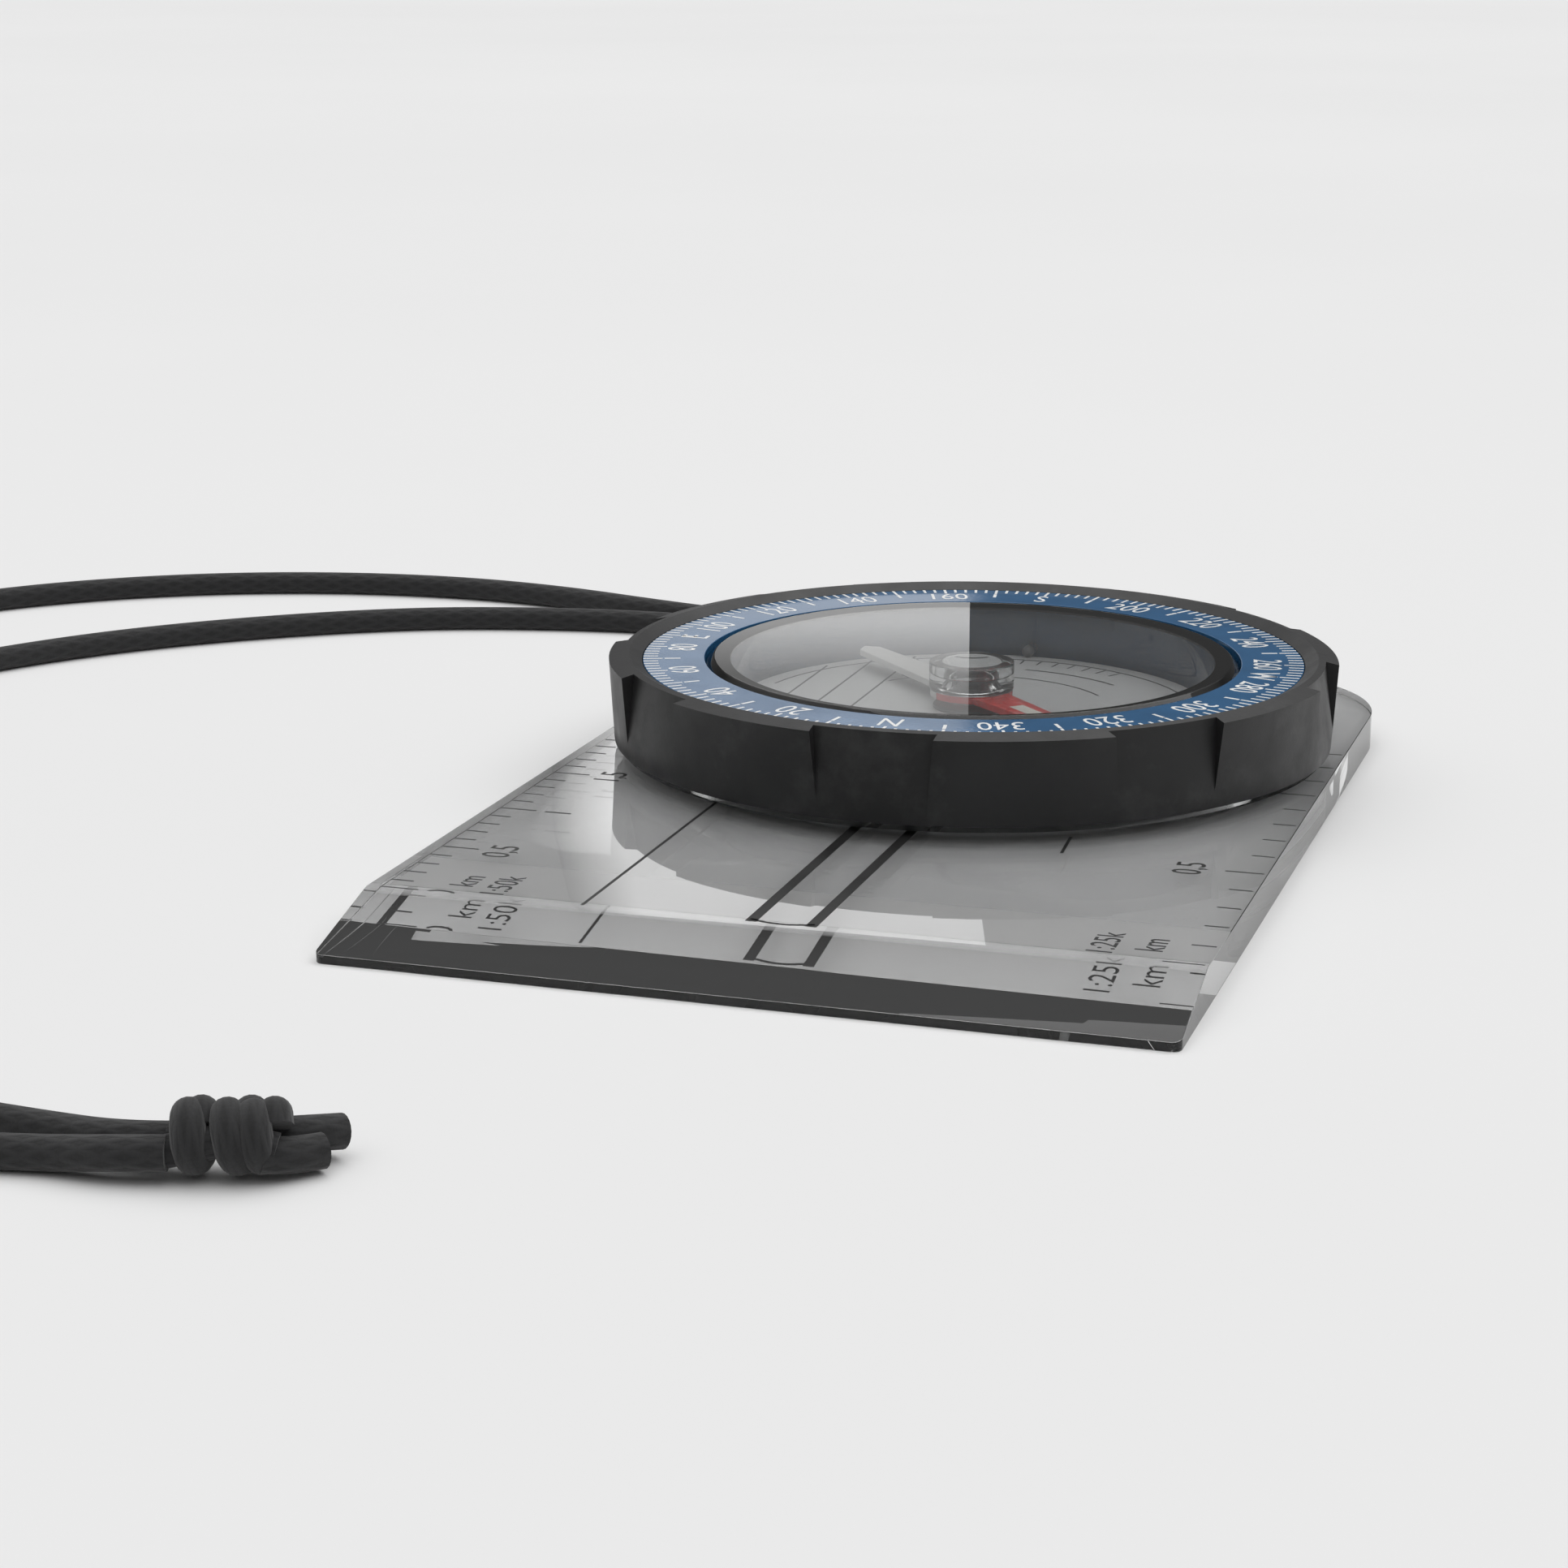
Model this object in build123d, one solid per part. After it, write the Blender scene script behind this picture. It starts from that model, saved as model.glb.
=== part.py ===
from build123d import *
import math
import os

os.makedirs("parts", exist_ok=True)

# Baseplate compass, millimetres.
# +Y is the direction of travel, +Z is up, and the origin is under the middle of the plate.

# ---- baseplate ----
PLATE_WIDTH = 53.4
PLATE_LENGTH = 85.0
PLATE_THICKNESS = 2.7
BACK_CORNER_RADIUS = 13.0
FRONT_CORNER_RADIUS = 0.6
BEVEL_RUN = 7.85
FRONT_EDGE_HEIGHT = 0.6
DIAL_FROM_BACK = 30.0
SEAT_CLEARANCE = 0.06
COUNTERBORE_EXTRA = 1.6
COUNTERBORE_DEPTH = 1.15
OVERSHOOT = 1.0

# ---- lanyard hole and the cord in it ----
CORD_DIAMETER = 1.9
CORD_FLOOR_GAP = 0.05
CORD_HOLE_CLEARANCE = 0.75
CORD_GROOVE_CLEARANCE = 0.2
HOLE_FROM_SIDE = 8.2
HOLE_FROM_BACK = 6.5
CORD_OUTSIDE_EDGE = 2.0

# ---- dial ring ----
RING_FROM_SIDE = 0.3
RING_DRAFT = 0.35
RING_WIDTH = 2.4
RING_RIM_WIDTH = 1.45
RING_ABOVE_PLATE = 7.0
RIM_DROP = 0.3
GRIP_COUNT = 8
GRIP_HALF_ANGLE = 9.3
GRIP_DEPTH = 0.95
GRIP_FOOT = 1.25
GRIP_FOOT_SHARE = 0.87
LEDGE_WIDTH = 1.3
LEDGE_THICKNESS = 0.7

# ---- degree scale ring ----
SCALE_THICKNESS = 0.6
SCALE_DROP = 0.5
SCALE_SKIRT = 0.7
SCALE_CLEARANCE = 0.05

# ---- capsule ----
SCALE_WIDTH = 4.6
SEAT_STEP = 1.1
CAPSULE_WALL = 1.8
CAPSULE_FLOOR = 0.7
FLOOR_ABOVE_PLATE = 0.9
LID_THICKNESS = 1.0
LID_BEVEL = 0.6
LID_BELOW_RIM = 0.4
FLANGE_SET_IN = 0.8
FLANGE_THICKNESS = 0.5
FLANGE_GAP = 0.3
SLEEVE_WALL = 1.2
SLEEVE_BOTTOM = 0.35
CARD_THICKNESS = 0.3
CARD_CLEARANCE = 0.05
DECLINATION_WIDTH = 1.2
DECLINATION_THICKNESS = 0.15
PLUG_RADIUS = 0.45
PLUG_STANDS_IN = 0.85

# ---- retaining ring and glide ring ----
SNAP_THICKNESS = 0.5
SNAP_GROOVE = 0.5
SNAP_OUTSIDE = 1.3
SNAP_BOTTOM = 0.5
GLIDE_THICKNESS = 0.2
GLIDE_WIDTH = 1.0
GLIDE_FROM_SEAT = 0.8

# ---- pivot ----
PIVOT_BASE_RADIUS = 2.8
PIVOT_BASE_THICKNESS = 0.3
POST_FOOT_RADIUS = 1.3
POST_TOP_RADIUS = 0.5
POST_HEIGHT = 1.0
PIN_RADIUS = 0.2
PIN_BURIED = 0.8
PIN_SHANK_ABOVE_POST = 0.3
PIN_POINT = 0.25
PIN_TIP_RADIUS = 0.03

# ---- needle ----
NEEDLE_WALL_GAP = 1.5
NEEDLE_SHOULDER = 0.9
NEEDLE_TIP_HALF_WIDTH = 0.9
NEEDLE_ROOT_HALF_WIDTH = 1.6
NEEDLE_HUB_RADIUS = 3.0
NEEDLE_THICKNESS = 0.5
NEEDLE_ABOVE_CARD = 0.9
NEEDLE_HOLE_RADIUS = 1.3
NEEDLE_HEADING = 135.5
MAGNET_THICKNESS = 0.3
MAGNET_SHARE = 0.56
MAGNET_HALF_WIDTH = 0.75
MAGNET_EYE_RADIUS = 2.2
LUME_START = 6.2
LUME_LENGTH = 3.2
LUME_HALF_WIDTH = 0.55
LUME_THICKNESS = 0.12
CAP_RADIUS = 3.1
CAP_HEIGHT = 2.05
CAP_DISH_RADIUS = 2.15
CAP_DISH_DEPTH = 1.05
HOLDER_FOOT_RADIUS = 1.6
HOLDER_TOP_RADIUS = 1.15
HOLDER_HEIGHT = 0.9
JEWEL_RADIUS = 0.6
JEWEL_THICKNESS = 0.4
JEWEL_CUP_RADIUS = 0.36
JEWEL_CUP_DEPTH = 0.15
JEWEL_UNDER_TOP = 0.15
PIN_TO_JEWEL = 0.05

# ---- lanyard knot ----
KNOT_LENGTH = 5.6
KNOT_OVER_STRANDS = 0.5
KNOT_END_ROUND = 0.4
KNOT_HEADING = 197.5
KNOT_FROM_EXIT = (-2.9, 119.2)
STRAND_GAP = 0.05
STRAND_UNDER_KNOT = 0.6
STRAND_STRAIGHT = 2.6
LONG_TAIL = 3.6
SHORT_TAIL = 1.9
TAIL_TURN = 33.0
TAIL_DIP = 5.0
TAIL_UNDER_KNOT = 0.6

# ---- places worked out from the sizes above ----
half_width = PLATE_WIDTH / 2
half_length = PLATE_LENGTH / 2
dial_y = DIAL_FROM_BACK - half_length
dial_at = (0.0, dial_y, 0.0)
ring_radius = half_width - RING_FROM_SIDE
ring_inner = ring_radius - RING_WIDTH
capsule_radius = ring_inner - SCALE_WIDTH
seat_radius = capsule_radius + SEAT_STEP
flange_radius = ring_radius - FLANGE_SET_IN
bore_radius = seat_radius + SEAT_CLEARANCE
flange_bottom = PLATE_THICKNESS + FLANGE_GAP
flange_top = flange_bottom + FLANGE_THICKNESS
ring_bottom = flange_top
ring_foot_radius = ring_radius - RING_DRAFT
rim_radius = ring_radius - RING_RIM_WIDTH
ring_top = PLATE_THICKNESS + RING_ABOVE_PLATE
rim_outer_z = ring_top - RIM_DROP
scale_top = ring_top - SCALE_DROP
scale_bottom = scale_top - SCALE_THICKNESS
scale_outer = ring_inner - SCALE_CLEARANCE
scale_inner = capsule_radius + SCALE_CLEARANCE
lid_top = ring_top - LID_BELOW_RIM
lid_bottom = lid_top - LID_THICKNESS
capsule_inner = capsule_radius - CAPSULE_WALL
floor_height = PLATE_THICKNESS + FLOOR_ABOVE_PLATE
floor_top = floor_height + CAPSULE_FLOOR
card_top = floor_top + CARD_THICKNESS
sleeve_inner = seat_radius - SLEEVE_WALL
post_bottom = card_top + PIVOT_BASE_THICKNESS
post_top = post_bottom + POST_HEIGHT
needle_reach = capsule_inner - NEEDLE_WALL_GAP
needle_bottom = card_top + NEEDLE_ABOVE_CARD
needle_top = needle_bottom + NEEDLE_THICKNESS
holder_top = needle_top + HOLDER_HEIGHT
jewel_top = holder_top - JEWEL_UNDER_TOP
jewel_bottom = jewel_top - JEWEL_THICKNESS
pin_tip = jewel_bottom + JEWEL_CUP_DEPTH - PIN_TO_JEWEL
cord_radius = CORD_DIAMETER / 2
cord_z = CORD_FLOOR_GAP + cord_radius
hole_x = half_width - HOLE_FROM_SIDE
hole_y = HOLE_FROM_BACK - half_length
hole_radius = cord_radius + CORD_HOLE_CLEARANCE
groove_height = cord_z + cord_radius + CORD_FLOOR_GAP * 2
cord_top_z = PLATE_THICKNESS + cord_radius + CORD_FLOOR_GAP * 2


def save(node, shape):
    """Write one node's file."""
    shape.label = node
    export_step(shape, f"parts/{node}.step")
    return shape


def turned(points):
    """A solid of revolution about the dial's axis, from (radius, height) points."""
    section = make_face(Polyline([(r, 0, z) for r, z in points], close=True))
    return Pos(*dial_at) * revolve(section, axis=Axis.Z)


def ring(inner, outer, bottom, top):
    """A plain square-cornered ring about the dial's axis."""
    return turned([(inner, bottom), (outer, bottom), (outer, top), (inner, top)])


def disc(radius, bottom, top):
    """A plain disc about the dial's axis."""
    return Pos(0, dial_y, bottom) * extrude(Circle(radius), top - bottom)


# ---------------- baseplate ----------------
def corner_edge_y(x):
    """The back edge's y at x, on the rounded back corner."""
    across = max(0.0, x - (half_width - BACK_CORNER_RADIUS))
    return BACK_CORNER_RADIUS - half_length - math.sqrt(BACK_CORNER_RADIUS**2 - across**2)


def make_baseplate():
    outline = Rectangle(PLATE_WIDTH, PLATE_LENGTH)
    back = outline.vertices().sort_by(Axis.Y)[:2]
    outline = fillet(back, BACK_CORNER_RADIUS)
    front = outline.vertices().sort_by(Axis.Y)[-2:]
    outline = fillet(front, FRONT_CORNER_RADIUS)
    plate = extrude(outline, PLATE_THICKNESS)
    slope = (PLATE_THICKNESS - FRONT_EDGE_HEIGHT) / BEVEL_RUN
    crease_y = half_length - BEVEL_RUN
    front_y = half_length + OVERSHOOT
    above = PLATE_THICKNESS + OVERSHOOT
    wedge = Polyline([
        (0, crease_y, PLATE_THICKNESS),
        (0, front_y, FRONT_EDGE_HEIGHT - slope * OVERSHOOT),
        (0, front_y, above),
        (0, crease_y, above),
    ], close=True)
    plate -= extrude(make_face(wedge), half_width + OVERSHOOT, both=True)
    plate -= disc(bore_radius, -OVERSHOOT, above)
    plate -= disc(seat_radius + COUNTERBORE_EXTRA, -OVERSHOOT, COUNTERBORE_DEPTH)
    plate -= Pos(hole_x, hole_y, -OVERSHOOT) * extrude(Circle(hole_radius), above + OVERSHOOT)
    groove_width = CORD_DIAMETER + 2 * CORD_GROOVE_CLEARANCE
    groove_length = HOLE_FROM_BACK + OVERSHOOT
    groove = Box(groove_width, groove_length, groove_height * 2)
    plate -= Pos(hole_x, hole_y - groove_length / 2, 0) * groove
    return plate


def make_glide_ring():
    inner = bore_radius + GLIDE_FROM_SEAT
    return ring(inner, inner + GLIDE_WIDTH, PLATE_THICKNESS, PLATE_THICKNESS + GLIDE_THICKNESS)


# ---------------- dial ----------------
def ring_outer_at(z):
    """Outer radius of the drafted dial ring at height z."""
    share = (z - ring_bottom) / (rim_outer_z - ring_bottom)
    return ring_foot_radius + RING_DRAFT * share


def make_dial_ring():
    ledge_inner = ring_inner - LEDGE_WIDTH
    body = turned([
        (ring_inner, ring_bottom),
        (ring_foot_radius, ring_bottom),
        (ring_radius, rim_outer_z),
        (rim_radius, ring_top),
        (ring_inner, scale_top),
        (ring_inner, scale_bottom),
        (ledge_inner, scale_bottom),
        (ledge_inner, scale_bottom - LEDGE_THICKNESS),
        (ring_inner, scale_bottom - LEDGE_THICKNESS),
    ])
    foot_z = ring_bottom + GRIP_FOOT
    reach = ring_radius + OVERSHOOT
    hollow = turned([
        (ring_outer_at(foot_z), foot_z),
        (reach, foot_z),
        (reach, ring_top + OVERSHOOT),
        (ring_radius - GRIP_DEPTH, ring_top + OVERSHOOT),
        (ring_radius - GRIP_DEPTH, rim_outer_z),
    ])
    half_top = ring_radius * math.sin(math.radians(GRIP_HALF_ANGLE))
    half_foot = half_top * GRIP_FOOT_SHARE
    gate = Polyline([
        (0, -half_foot, ring_bottom),
        (0, half_foot, ring_bottom),
        (0, half_top, ring_top),
        (0, -half_top, ring_top),
    ], close=True)
    window = extrude(make_face(gate), reach, dir=(1, 0, 0))
    for step in range(GRIP_COUNT):
        turn = Rot(0, 0, 360 / GRIP_COUNT * step)
        body -= hollow & (Pos(*dial_at) * turn * window)
    return body


def make_scale_ring():
    skirt_outer = scale_inner + SCALE_SKIRT
    return turned([
        (scale_inner, flange_top),
        (skirt_outer, flange_top),
        (skirt_outer, scale_bottom),
        (scale_outer, scale_bottom),
        (scale_outer, scale_top),
        (scale_inner, scale_top),
    ])


# ---------------- capsule ----------------
def make_capsule_cup():
    seat_outer = capsule_inner + DECLINATION_WIDTH
    seat_z = lid_bottom - DECLINATION_THICKNESS
    groove_radius = seat_radius - SNAP_GROOVE
    snap_top = SNAP_BOTTOM + SNAP_THICKNESS
    cup = turned([
        (0, floor_height),
        (sleeve_inner, floor_height),
        (sleeve_inner, SLEEVE_BOTTOM),
        (seat_radius, SLEEVE_BOTTOM),
        (seat_radius, SNAP_BOTTOM),
        (groove_radius, SNAP_BOTTOM),
        (groove_radius, snap_top),
        (seat_radius, snap_top),
        (seat_radius, flange_bottom),
        (flange_radius, flange_bottom),
        (flange_radius, flange_top),
        (capsule_radius, flange_top),
        (capsule_radius, lid_bottom),
        (seat_outer, lid_bottom),
        (seat_outer, seat_z),
        (capsule_inner, seat_z),
        (capsule_inner, floor_top),
        (0, floor_top),
    ])
    return cup - plug_shape()


def make_capsule_lid():
    return turned([
        (0, lid_bottom),
        (capsule_radius, lid_bottom),
        (capsule_radius, lid_top - LID_BEVEL),
        (capsule_radius - LID_BEVEL, lid_top),
        (0, lid_top),
    ])


def make_declination_ring():
    outer = capsule_inner + DECLINATION_WIDTH
    return ring(capsule_inner, outer, lid_bottom - DECLINATION_THICKNESS, lid_bottom)


def make_orienting_card():
    return disc(capsule_inner - CARD_CLEARANCE, floor_top, card_top)


def plug_shape():
    """The stopper of the filling hole: a round pin through the capsule's back wall."""
    height = card_top + PLUG_RADIUS
    start = capsule_inner - PLUG_STANDS_IN + PLUG_RADIUS
    pin = extrude(Plane.XZ * Circle(PLUG_RADIUS), capsule_radius - start)
    pin = Pos(0, dial_y - start, height) * pin
    return pin + Pos(0, dial_y - start, height) * Sphere(PLUG_RADIUS)


def make_snap_ring():
    inner = seat_radius - SNAP_GROOVE
    return ring(inner, seat_radius + SNAP_OUTSIDE, SNAP_BOTTOM, SNAP_BOTTOM + SNAP_THICKNESS)


# ---------------- pivot ----------------
def make_pivot_base():
    return disc(PIVOT_BASE_RADIUS, card_top, post_bottom)


def make_pivot_post():
    return turned([
        (0, post_bottom),
        (POST_FOOT_RADIUS, post_bottom),
        (POST_TOP_RADIUS, post_top),
        (PIN_RADIUS, post_top),
        (PIN_RADIUS, post_top - PIN_BURIED),
        (0, post_top - PIN_BURIED),
    ])


def make_pivot_pin():
    return turned([
        (0, post_top - PIN_BURIED),
        (PIN_RADIUS, post_top - PIN_BURIED),
        (PIN_RADIUS, pin_tip - PIN_POINT),
        (PIN_TIP_RADIUS, pin_tip),
        (0, pin_tip),
    ])


# ---------------- needle ----------------
def on_needle(shape):
    """Turn a shape drawn with north along +X to the needle's heading, at the dial's axis."""
    return Pos(*dial_at) * Rot(0, 0, NEEDLE_HEADING) * shape


def make_needle_blade():
    shoulder = needle_reach - NEEDLE_SHOULDER
    outline = make_face(Polyline([
        (needle_reach, 0),
        (shoulder, NEEDLE_TIP_HALF_WIDTH),
        (0, NEEDLE_ROOT_HALF_WIDTH),
        (-shoulder, NEEDLE_TIP_HALF_WIDTH),
        (-needle_reach, 0),
        (-shoulder, -NEEDLE_TIP_HALF_WIDTH),
        (0, -NEEDLE_ROOT_HALF_WIDTH),
        (shoulder, -NEEDLE_TIP_HALF_WIDTH),
    ], close=True))
    outline = outline + Circle(NEEDLE_HUB_RADIUS) - Circle(NEEDLE_HOLE_RADIUS)
    blade = Pos(0, 0, needle_bottom) * extrude(outline, NEEDLE_THICKNESS)
    return on_needle(blade - lume_shape())


def lume_shape():
    """The luminous inlay in the top of the north arm, before it is turned."""
    middle = LUME_START + LUME_LENGTH / 2
    strip = Rectangle(LUME_LENGTH, 2 * LUME_HALF_WIDTH)
    return Pos(middle, 0, needle_top - LUME_THICKNESS) * extrude(strip, LUME_THICKNESS)


def make_needle_lume():
    return on_needle(lume_shape())


def make_needle_magnet():
    strip = Rectangle(2 * MAGNET_SHARE * needle_reach, 2 * MAGNET_HALF_WIDTH)
    outline = strip + Circle(MAGNET_EYE_RADIUS) - Circle(NEEDLE_HOLE_RADIUS)
    bar = extrude(outline, MAGNET_THICKNESS)
    return on_needle(Pos(0, 0, needle_bottom - MAGNET_THICKNESS) * bar)


def make_hub_cap():
    top = needle_top + CAP_HEIGHT
    dish = top - CAP_DISH_DEPTH
    return turned([
        (HOLDER_FOOT_RADIUS, needle_top),
        (CAP_RADIUS, needle_top),
        (CAP_RADIUS, top),
        (CAP_DISH_RADIUS, top),
        (CAP_DISH_RADIUS, dish),
        (0, dish),
        (0, holder_top),
        (HOLDER_TOP_RADIUS, holder_top),
    ])


def make_jewel_holder():
    return turned([
        (JEWEL_RADIUS, needle_top),
        (HOLDER_FOOT_RADIUS, needle_top),
        (HOLDER_TOP_RADIUS, holder_top),
        (0, holder_top),
        (0, jewel_top),
        (JEWEL_RADIUS, jewel_top),
    ])


def make_jewel():
    return turned([
        (JEWEL_CUP_RADIUS, jewel_bottom),
        (JEWEL_RADIUS, jewel_bottom),
        (JEWEL_RADIUS, jewel_top),
        (0, jewel_top),
        (0, jewel_bottom + JEWEL_CUP_DEPTH),
        (2 * PIN_TIP_RADIUS, jewel_bottom + JEWEL_CUP_DEPTH),
    ])


# ---------------- lanyard ----------------
exit_y = corner_edge_y(hole_x) - CORD_OUTSIDE_EDGE
exit_low = (hole_x, exit_y, cord_z)
exit_high = (hole_x, exit_y, cord_top_z)
knot_diameter = 2 * CORD_DIAMETER + KNOT_OVER_STRANDS
knot_z = knot_diameter / 2 + CORD_FLOOR_GAP
knot_frame = Pos(hole_x + KNOT_FROM_EXIT[0], exit_y + KNOT_FROM_EXIT[1], knot_z) * Rot(0, 0, KNOT_HEADING)


def from_exit(x, y, z):
    """A point of the lanyard, from the place where the cord leaves the plate."""
    return (hole_x + x, exit_y + y, z)


def on_floor(*places):
    """Points of a cord that lies on the floor."""
    return [from_exit(x, y, cord_z) for x, y in places]


def into_knot(side):
    """A strand's last straight run, square to the knot's end."""
    across = side * (CORD_DIAMETER + STRAND_GAP) / 2
    face = -KNOT_LENGTH / 2
    places = [(face - STRAND_STRAIGHT, across), (face, across)]
    return [tuple((knot_frame * Pos(x, y, -STRAND_UNDER_KNOT)).position) for x, y in places]


# The back strand leaves over the plate's top and lies down on the surface.
BACK_STRAND = [
    exit_high,
    from_exit(0.0, -3.4, 3.3),
    from_exit(1.5, -7.3, 2.0),
    *on_floor(
        (6.1, -9.8), (14.1, -11.7), (22.8, -13.9), (31.4, -16.5), (40.2, -17.8), (48.9, -17.5),
        (57.7, -15.6), (65.9, -12.3), (73.5, -7.4), (80.4, -0.8), (86.9, 9.4), (92.3, 21.8),
        (96.3, 36.2), (98.5, 51.6), (98.3, 67.4), (94.9, 83.0), (87.5, 98.0), (76.1, 110.6),
        (61.5, 119.8), (45.7, 125.0), (30.7, 126.4), (19.1, 124.8), (11.1, 122.5), (5.9, 121.4),
    ),
    *into_knot(-1),
]
# The front strand leaves through the groove under the plate's corner.
FRONT_STRAND = [
    exit_low,
    *on_floor(
        (0.4, -2.7), (4.1, -5.7), (9.9, -7.7), (16.9, -8.8), (24.3, -8.6), (31.9, -7.1),
        (39.1, -4.9), (45.9, -1.3), (52.3, 3.3), (58.3, 8.6), (63.7, 14.8), (68.5, 22.4),
        (73.3, 33.2), (77.3, 46.2), (79.5, 60.6), (78.3, 76.0), (72.7, 90.4), (63.3, 102.2),
        (50.7, 110.6), (36.9, 115.4), (23.7, 117.4), (14.1, 117.8), (7.3, 118.4),
    ),
    *into_knot(1),
]


def route_radii(points, name):
    """One fillet radius per corner, each as large as its two runs allow."""
    radii = []
    for before, here, after in zip(points, points[1:-1], points[2:]):
        first = Vector(here) - Vector(before)
        second = Vector(after) - Vector(here)
        half_turn = math.radians(first.get_angle(second)) / 2
        radii.append(0.45 * min(first.length, second.length) / math.tan(half_turn))
    print(name, "radii", [round(r, 1) for r in radii])
    return radii


def cord_tube(points, name):
    """A round tube along straight runs joined by tangent arcs."""
    path = FilletPolyline(*points, radius=route_radii(points, name))
    start = Plane(origin=path @ 0, z_dir=path % 0)
    tube = sweep(start * Circle(cord_radius), path=path)
    section = math.pi * cord_radius**2
    share = tube.volume / (section * path.length)
    print(name, "length", round(path.length, 1), "volume share", round(share, 4))
    return tube


def make_bight():
    """The cord's bend through the lanyard hole."""
    route = [exit_low, (hole_x, hole_y, cord_z), (hole_x, hole_y, cord_top_z), exit_high]
    return cord_tube(route, "lanyard_bight")


def make_knot():
    """The overhand knot's outer shape."""
    barrel = extrude(Circle(knot_diameter / 2), KNOT_LENGTH / 2, both=True)
    ends = barrel.edges().filter_by(GeomType.CIRCLE)
    barrel = fillet(ends, KNOT_END_ROUND)
    return knot_frame * Rot(0, 90, 0) * barrel


def make_tails():
    """The two cut ends, cut flush where they leave the knot."""
    apart = (CORD_DIAMETER + STRAND_GAP) / math.cos(math.radians(TAIL_TURN))
    behind = Box(KNOT_LENGTH, 2 * knot_diameter, 2 * knot_diameter)
    tails = []
    for side, length in ((1, LONG_TAIL), (-1, SHORT_TAIL)):
        tail = Pos(0, 0, -CORD_DIAMETER) * extrude(Circle(cord_radius), length + CORD_DIAMETER)
        start = Pos(KNOT_LENGTH / 2, side * apart / 2, -TAIL_UNDER_KNOT)
        lean = Rot(0, 0, TAIL_TURN) * Rot(0, 90 + TAIL_DIP, 0)
        tails.append(knot_frame * (start * lean * tail - behind))
    return Compound(children=tails)


save("baseplate", make_baseplate())
save("glide_ring", make_glide_ring())
save("dial_ring", make_dial_ring())
save("degree_scale_ring", make_scale_ring())
save("capsule_cup", make_capsule_cup())
save("capsule_lid", make_capsule_lid())
save("declination_ring", make_declination_ring())
save("orienting_card", make_orienting_card())
save("fill_plug", plug_shape())
save("snap_ring", make_snap_ring())
save("pivot_base", make_pivot_base())
save("pivot_post", make_pivot_post())
save("pivot_pin", make_pivot_pin())
save("needle_blade", make_needle_blade())
save("needle_luminous_inlay", make_needle_lume())
save("needle_magnet", make_needle_magnet())
save("hub_cap", make_hub_cap())
save("jewel_holder", make_jewel_holder())
save("jewel_bearing", make_jewel())
save("lanyard_bight", make_bight())
save("lanyard_back_strand", cord_tube(BACK_STRAND, "lanyard_back_strand"))
save("lanyard_front_strand", cord_tube(FRONT_STRAND, "lanyard_front_strand"))
save("lanyard_knot", make_knot())
save("lanyard_tails", make_tails())
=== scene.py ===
import bmesh
import bpy
import math
from mathutils import Matrix, Vector


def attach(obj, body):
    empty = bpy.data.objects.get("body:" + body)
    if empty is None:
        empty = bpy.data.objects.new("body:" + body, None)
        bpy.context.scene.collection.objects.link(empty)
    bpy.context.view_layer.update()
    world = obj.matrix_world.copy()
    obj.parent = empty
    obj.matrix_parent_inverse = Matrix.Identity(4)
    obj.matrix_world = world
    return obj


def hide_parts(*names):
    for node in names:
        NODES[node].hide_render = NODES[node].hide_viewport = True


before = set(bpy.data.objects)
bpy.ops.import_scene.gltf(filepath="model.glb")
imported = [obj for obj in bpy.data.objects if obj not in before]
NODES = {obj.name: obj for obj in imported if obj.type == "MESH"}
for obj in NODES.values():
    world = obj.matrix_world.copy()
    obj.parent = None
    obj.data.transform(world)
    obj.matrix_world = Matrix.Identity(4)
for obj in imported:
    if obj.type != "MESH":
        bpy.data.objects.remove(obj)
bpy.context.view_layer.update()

# Lengths below are millimetres, and MM turns them into metres.
MM = 0.001
PLATE_TOP = 2.7
DIAL_Y = -12.5
SCALE_TOP = 9.2
CARD_TOP = 4.6
LID_BOTTOM = 8.3
NEEDLE_HEADING = 135.5
CORD = 1.9
CORD_RADIUS = CORD * MM / 2
INK = 0.012


# ---------------------------------------------------------------- finishes
def finish(name, **values):
    """A material with one Principled shader, set on its own sockets."""
    made = bpy.data.materials.new(name)
    made.use_nodes = True
    shader = made.node_tree.nodes["Principled BSDF"]
    for socket, value in values.items():
        shader.inputs[socket.replace("_", " ")].default_value = value
    return made


def shader_of(material):
    return material.node_tree.nodes["Principled BSDF"]


def noise(material, scale, detail=4.0, rough=0.55):
    """A noise texture on Object coordinates."""
    nodes, links = material.node_tree.nodes, material.node_tree.links
    place = nodes.new("ShaderNodeTexCoord")
    grain = nodes.new("ShaderNodeTexNoise")
    grain.inputs["Scale"].default_value = scale
    grain.inputs["Detail"].default_value = detail
    grain.inputs["Roughness"].default_value = rough
    links.new(place.outputs["Object"], grain.inputs["Vector"])
    return grain


def ramp(material, source, low, high, at=(0.35, 0.65)):
    """Turns a 0..1 value into a colour between low and high."""
    nodes, links = material.node_tree.nodes, material.node_tree.links
    band = nodes.new("ShaderNodeValToRGB")
    for stop, place, colour in zip(band.color_ramp.elements, at, (low, high)):
        stop.position = place
        stop.color = (*colour, 1)
    links.new(source, band.inputs["Fac"])
    return band.outputs["Color"]


def spread(material, source, low, high, at=(0.3, 0.7)):
    """Turns a 0..1 value into a number between low and high."""
    nodes, links = material.node_tree.nodes, material.node_tree.links
    span = nodes.new("ShaderNodeMapRange")
    span.inputs["From Min"].default_value = at[0]
    span.inputs["From Max"].default_value = at[1]
    span.inputs["To Min"].default_value = low
    span.inputs["To Max"].default_value = high
    links.new(source, span.inputs["Value"])
    return span.outputs["Result"]


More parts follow.
